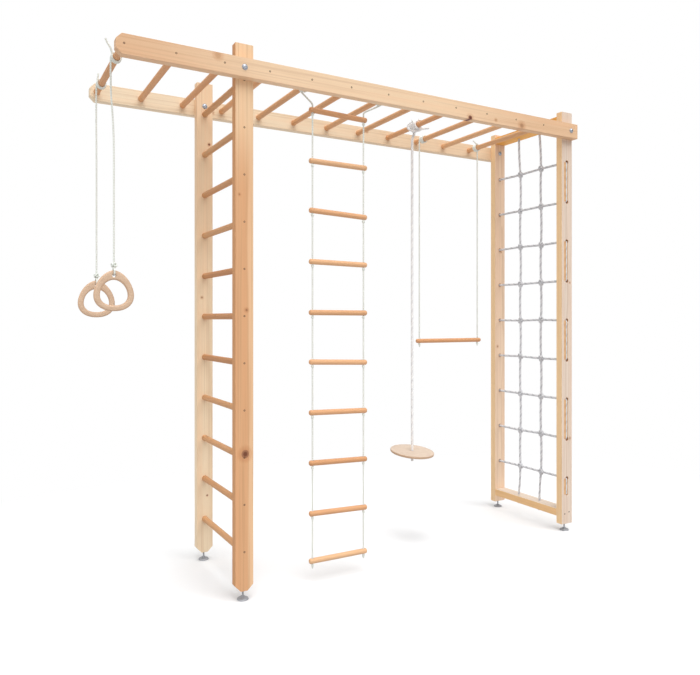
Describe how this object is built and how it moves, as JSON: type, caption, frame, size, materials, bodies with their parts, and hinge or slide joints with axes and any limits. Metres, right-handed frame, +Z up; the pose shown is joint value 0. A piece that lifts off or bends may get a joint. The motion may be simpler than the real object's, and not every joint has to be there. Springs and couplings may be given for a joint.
{
  "type": "indoor climbing frame",
  "caption": "Free-standing wooden climbing frame with overhead monkey bars, ladder, rope net, hanging rings, rope ladder, disc swing and trapeze",
  "frame": {"origin": "on the floor, below the middle of the frame's bounding box", "axes": "+X along the beams from the rings to the net, +Y from front to rear, +Z up"},
  "size_m": [2.5586, 0.6706, 2.36],
  "materials": {
    "pine": "planed and lacquered pine",
    "dowel_wood": "turned and lacquered dowel",
    "plywood": "rounded and lacquered plywood",
    "thin_rope": "braided pale rope",
    "thick_rope": "twisted pale rope",
    "zinc": "zinc plated"
  },
  "bodies": {
    "frame": {"climbing_net": "thick_rope", "front_beam": "pine", "ladder_post_front": "pine", "ladder_post_rear": "pine", "ladder_rung_01": "dowel_wood", "ladder_rung_02": "dowel_wood", "ladder_rung_03": "dowel_wood", "ladder_rung_04": "dowel_wood", "ladder_rung_05": "dowel_wood", "ladder_rung_06": "dowel_wood", "ladder_rung_07": "dowel_wood", "ladder_rung_08": "dowel_wood", "ladder_rung_09": "dowel_wood", "ladder_rung_10": "dowel_wood", "ladder_rung_11": "dowel_wood", "monkey_bar_01": "dowel_wood", "monkey_bar_02": "dowel_wood", "monkey_bar_03": "dowel_wood", "monkey_bar_04": "dowel_wood", "monkey_bar_05": "dowel_wood", "monkey_bar_06": "dowel_wood", "monkey_bar_07": "dowel_wood", "monkey_bar_08": "dowel_wood", "monkey_bar_09": "dowel_wood", "monkey_bar_10": "dowel_wood", "monkey_bar_11": "dowel_wood", "monkey_bar_12": "dowel_wood", "net_bottom_rail": "pine", "net_post_front": "pine", "net_post_rear": "pine", "net_top_rail": "pine", "rear_beam": "pine", "trapeze_hitch_left": "thin_rope", "trapeze_hitch_right": "thin_rope"},
    "ring_rope_front": {"ring_rope_front": "thin_rope"},
    "ring_rope_rear": {"ring_rope_rear": "thin_rope"},
    "ring_front": {"ring_front": "plywood"},
    "ring_rear": {"ring_rear": "plywood"},
    "rope_ladder": {"rope_ladder_rope_left": "thin_rope", "rope_ladder_rope_right": "thin_rope", "rope_ladder_step_01": "dowel_wood", "rope_ladder_step_02": "dowel_wood", "rope_ladder_step_03": "dowel_wood", "rope_ladder_step_04": "dowel_wood", "rope_ladder_step_05": "dowel_wood", "rope_ladder_step_06": "dowel_wood", "rope_ladder_step_07": "dowel_wood", "rope_ladder_step_08": "dowel_wood", "rope_ladder_step_09": "dowel_wood", "rope_ladder_step_10": "dowel_wood"},
    "trapeze": {"trapeze_bar": "dowel_wood", "trapeze_rope_left": "thin_rope", "trapeze_rope_right": "thin_rope"},
    "swing_rope": {"swing_rope": "thick_rope"},
    "swing_disc": {"swing_disc": "plywood"},
    "ladder_foot_front": {"ladder_foot_front": "zinc"},
    "ladder_foot_rear": {"ladder_foot_rear": "zinc"},
    "net_foot_front": {"net_foot_front": "zinc"},
    "net_foot_rear": {"net_foot_rear": "zinc"}
  },
  "joints": [
    {"name": "ring_swing_front", "type": "hinge", "parent": "frame", "child": "ring_rope_front", "pos_m": [-1.1825, -0.16, 2.246], "axis": [0, 1, 0], "range_deg": [-20, 40]},
    {"name": "ring_tilt_front", "type": "hinge", "parent": "ring_rope_front", "child": "ring_front", "pos_m": [-1.1885, -0.16, 1.372], "axis": [0, 1, 0], "range_deg": [-30, 30]},
    {"name": "ring_swing_rear", "type": "hinge", "parent": "frame", "child": "ring_rope_rear", "pos_m": [-1.1825, 0.19, 2.246], "axis": [0, 1, 0], "range_deg": [-20, 40]},
    {"name": "ring_tilt_rear", "type": "hinge", "parent": "ring_rope_rear", "child": "ring_rear", "pos_m": [-1.2005, 0.19, 1.348], "axis": [0, 1, 0], "range_deg": [-30, 30]},
    {"name": "rope_ladder_swing", "type": "hinge", "parent": "frame", "child": "rope_ladder", "pos_m": [-0.2005, -0.2433, 2.26], "axis": [1, 0, 0], "range_deg": [-20, 20]},
    {"name": "trapeze_swing", "type": "hinge", "parent": "frame", "child": "trapeze", "pos_m": [0.8175, 0.2353, 2.2337], "axis": [1, 0, 0], "range_deg": [-30, 30]},
    {"name": "disc_swing", "type": "hinge", "parent": "frame", "child": "swing_rope", "pos_m": [0.4175, 0.0477, 2.246], "axis": [0, 1, 0], "range_deg": [-20, 20]},
    {"name": "disc_turn", "type": "hinge", "parent": "swing_rope", "child": "swing_disc", "pos_m": [0.4175, 0.0477, 0.467], "axis": [0, 0, 1], "continuous": true},
    {"name": "ladder_foot_front_slide", "type": "slide", "parent": "frame", "child": "ladder_foot_front", "axis": [0, 0, 1], "range_m": [-0.012, 0.015]},
    {"name": "ladder_foot_rear_slide", "type": "slide", "parent": "frame", "child": "ladder_foot_rear", "axis": [0, 0, 1], "range_m": [-0.012, 0.015]},
    {"name": "net_foot_front_slide", "type": "slide", "parent": "frame", "child": "net_foot_front", "axis": [0, 0, 1], "range_m": [-0.012, 0.015]},
    {"name": "net_foot_rear_slide", "type": "slide", "parent": "frame", "child": "net_foot_rear", "axis": [0, 0, 1], "range_m": [-0.012, 0.015]}
  ]
}
